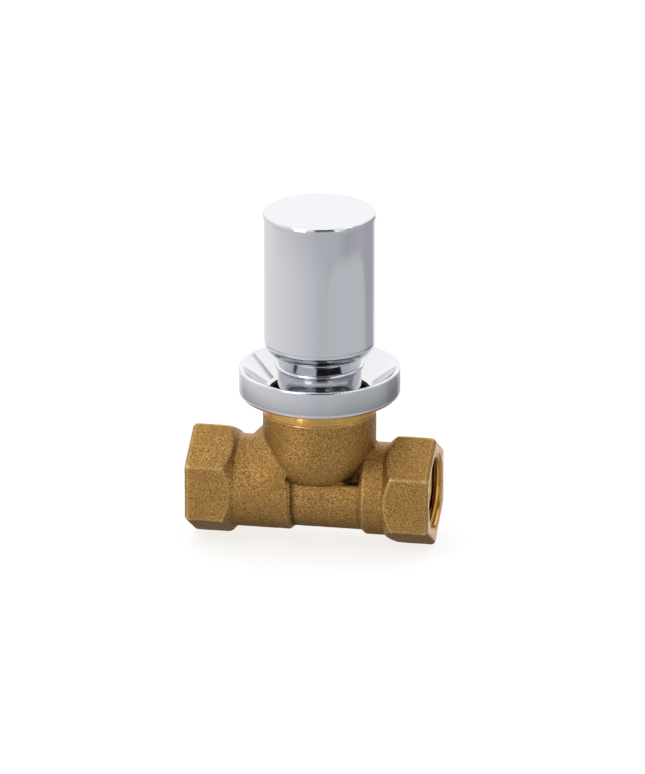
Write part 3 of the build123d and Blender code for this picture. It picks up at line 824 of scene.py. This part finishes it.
    def bent(self, name: str, radius: float, heights: tuple[float, float], rise_step: float,
             ends: tuple[float, float]) -> tuple[bpy.types.Object, np.ndarray, np.ndarray]:
        """Bends a card round the front that only the metal shows.

        Args:
            name: The card's name.
            radius: Its radius.
            heights: Its lower and upper edge.
            rise_step: The height of its cells.
            ends: The turns from the camera where it starts and ends.

        Returns:
            The card, and the turn and the height of each of its points.
        """
        turns = np.radians(np.arange(ends[0], ends[1] + 1, self.turn_step))
        rises = np.arange(heights[0], heights[1] + 0.1, rise_step)
        turn, rise = (a.ravel() for a in np.meshgrid(turns, rises, indexing="ij"))
        way = turn + math.radians(self.camera_azimuth - 90)
        points = np.stack([radius * np.cos(way), radius * np.sin(way), rise], axis=1) * MM
        across, up = len(turns), len(rises)
        faces = [(i * up + j, i * up + j + 1, i * up + up + j + 1, i * up + up + j)
                 for i in range(across - 1) for j in range(up - 1)]
        mesh = bpy.data.meshes.new(name)
        mesh.from_pydata(points.tolist(), [], faces)
        card = make_object(name, mesh)
        for sight in ("visible_camera", "visible_diffuse", "visible_transmission", "visible_shadow"):
            setattr(card, sight, False)
        return card, np.degrees(turn), rise

    @staticmethod
    def sheer(card: bpy.types.Object, name: str, mark: str, values: np.ndarray) -> tuple[
            bpy.types.NodeTree, bpy.types.bpy_prop_collection, bpy.types.NodeSocket]:
        """Starts a see-through material that follows a mark on a card's points.

        Args:
            card: The card.
            name: The material's name.
            mark: The mark's name.
            values: The mark of each point.

        Returns:
            The material's tree, the mark's outputs and where the surface goes in.
        """
        mark_points(card.data, mark, values)
        material, tree, shader = start_material(name)
        tree.nodes.remove(shader)
        card.data.materials.append(material)
        held = add_node(tree, "ShaderNodeAttribute", attribute_name=mark).outputs
        return tree, held, tree.nodes["Material Output"].inputs["Surface"]

    def card(self) -> None:
        """Hangs a dim card with a bright arch left open in it."""
        card, degrees, rise = self.bent("studio_card", self.card_r, (-60.0, 120.0), 2.0, (-120.0, 140.0))
        arch_turn, arch_half, arch_foot, arch_height = 59, 48, -15, 37.3
        arch = (np.abs(degrees - arch_turn) / arch_half) ** 4 + (np.maximum(rise - arch_foot, 0) / arch_height) ** 4
        outside = np.clip((arch - 0.9) / 0.25, 0, 1)
        lifted = np.clip((rise - 18) / 14, 0, 1)
        share = np.clip((degrees - 6) / 14, 0, 1)
        dim = np.interp(degrees, [-115, -60, 10, 35, 56, 90, 115, 132, 140], [0, 0.3, 0.4, 0.5, 1, 0.7, 1, 0.9, 0])
        veil = dim * (share * outside + (1 - share) * lifted)
        tree, held, surface = self.sheer(card, "Studio_card", "veil", veil)
        clear = add_node(tree, "ShaderNodeBsdfTransparent")
        glow = add_node(tree, "ShaderNodeEmission", {"Color": (0.46, 0.45, 0.49, 1.0), "Strength": 1.0})
        both = add_node(tree, "ShaderNodeMixShader", {0: held["Fac"], 1: clear.outputs[0], 2: glow.outputs[0]})
        tree.links.new(both.outputs[0], surface)

    def gauze(self) -> None:
        """Hangs a grey gauze low in front, which darkens the foot of the rosette's wall and its right side."""
        start, end = -160.0, 176.0
        gauze, degrees, rise = self.bent("studio_gauze", self.card_r - 1, (-28.0, -10.0), 0.5, (start, end))
        # It lets less light pass the lower a point lies, down to its foot, where it fades out again.
        top, low_edge, fade_foot, least = -12, -24, -27, 0.5
        drop = np.maximum(top - rise, 0)
        right = np.clip((degrees - 10) / 30, 0, 1) * np.clip(drop / 2, 0, 1)
        passed = np.maximum((1 - 0.006 * drop ** 2) * (1 - 0.17 * right), least)
        faded = 1 - (1 - passed) * np.clip((rise - fade_foot) / 3, 0, 1)
        passed = np.where(rise < low_edge, faded, passed)
        held_back = np.clip((degrees - start) / 30, 0, 1) * np.clip((end - degrees) / 16, 0, 1)
        passed = 1 - (1 - passed) * held_back
        tree, held, surface = self.sheer(gauze, "Studio_gauze", "passed", passed)
        clear = add_node(tree, "ShaderNodeBsdfTransparent", {"Color": held["Color"]})
        tree.links.new(clear.outputs[0], surface)

    def lamps(self) -> None:
        """Hangs the soft lamps. Places and sizes in metres, powers in watts."""
        for name, place, size, power in (
                ("Key", (-0.55, -0.75, 0.9), 0.7, 2.0), ("Low", (-0.5, -0.9, 0.06), 0.45, 1.5),
                ("Fill", (0.9, -0.5, 0.35), 0.8, 3.5)):
            light = bpy.data.lights.new(name, "AREA")
            light.energy = power
            light.size = size
            lamp = make_object(name, light)
            lamp.location = place
            lamp.rotation_euler = (-Vector(place)).to_track_quat("-Z", "Y").to_euler()


@dataclass
class Valve:
    """The whole valve, dressed part by part."""

    forged: ForgedBrass = ForgedBrass()
    turned: TurnedBrass = TurnedBrass()
    chrome: ChromePlate = ChromePlate()
    rubber: Rubber = Rubber()
    acetal: Acetal = Acetal()
    steel: StainlessSteel = StainlessSteel()
    dull: ShadeDarkenedBrass = ShadeDarkenedBrass()

    @staticmethod
    def top_lip(chrome: bpy.types.Material) -> None:
        """Adds the lip round the handle's top edge."""
        section = [(14.2, 78.3), (14.2, 78.81), (14.9, 78.81), (15.1, 78.78), (15.2, 78.7), (15.25, 78.56),
                   (15.3, 78.36), (15.35, 78.14), (15.38, 77.95), (15.38, 77.5), (15.34, 77.4), (15.15, 77.36),
                   (14.9, 77.36)]
        lip = make_object("handle_top_lip", lathe(section, 256))
        lip.data.materials.append(chrome)
        sharpen(lip, 50)
        settle(lip, Body.HANDLE)

    def build(self) -> None:
        """Builds the pieces that the scene shapes, and dresses the solids that stay."""
        turned = self.turned.material()
        chrome = self.chrome.material()
        rubber = self.rubber.material()
        acetal = self.acetal.material()
        steel = self.steel.material()
        dull = self.dull.material()
        thread = PipeThread()
        body = ForgedBody(thread)
        body.build(self.forged.material(), turned, dull)
        for name, end_x, inward in (("inlet_thread_ridge", body.inlet_end_x, 1),
                                    ("outlet_thread_ridge", body.outlet_end_x, -1)):
            settle(thread.piece(name, end_x, inward, turned), Body.VALVE)
        self.top_lip(chrome)
        finishes = (
            (chrome, Slot.CHROME, ("handle_shell", "extension_sleeve", "rosette")),
            # The headwork housing, seen only in the gap, gets the brass darkened as painted shade.
            (dull, Slot.TURNED_BRASS, ("headwork_housing",)),
            (turned, Slot.TURNED_BRASS, (
                "spindle", "disc_carrier", "washer_plate", "washer_screw", "handle_adapter")),
            (rubber, Slot.RUBBER, (
                "housing_gasket", "spindle_seal_lower", "spindle_seal_upper", "carrier_seal", "seat_washer")),
            (acetal, Slot.ACETAL, ("slip_ring", "guide_ring")),
            (steel, Slot.STAINLESS, ("retaining_clip", "lock_washer", "adapter_screw", "grub_screw")),
        )
        for material, slot, nodes in finishes:
            for node in nodes:
                dress(node, material)


def main() -> None:
    """Builds the valve, the studio and the camera."""
    logging.basicConfig(level=logging.INFO, format="%(name)s: %(message)s")
    bpy.context.scene.view_settings.view_transform = "Standard"
    Valve().build()
    studio = Studio()
    studio.floor()
    studio.world()
    studio.card()
    studio.gauze()
    studio.lamps()
    PhotoCamera().build()


if __name__ == "__main__":
    main()
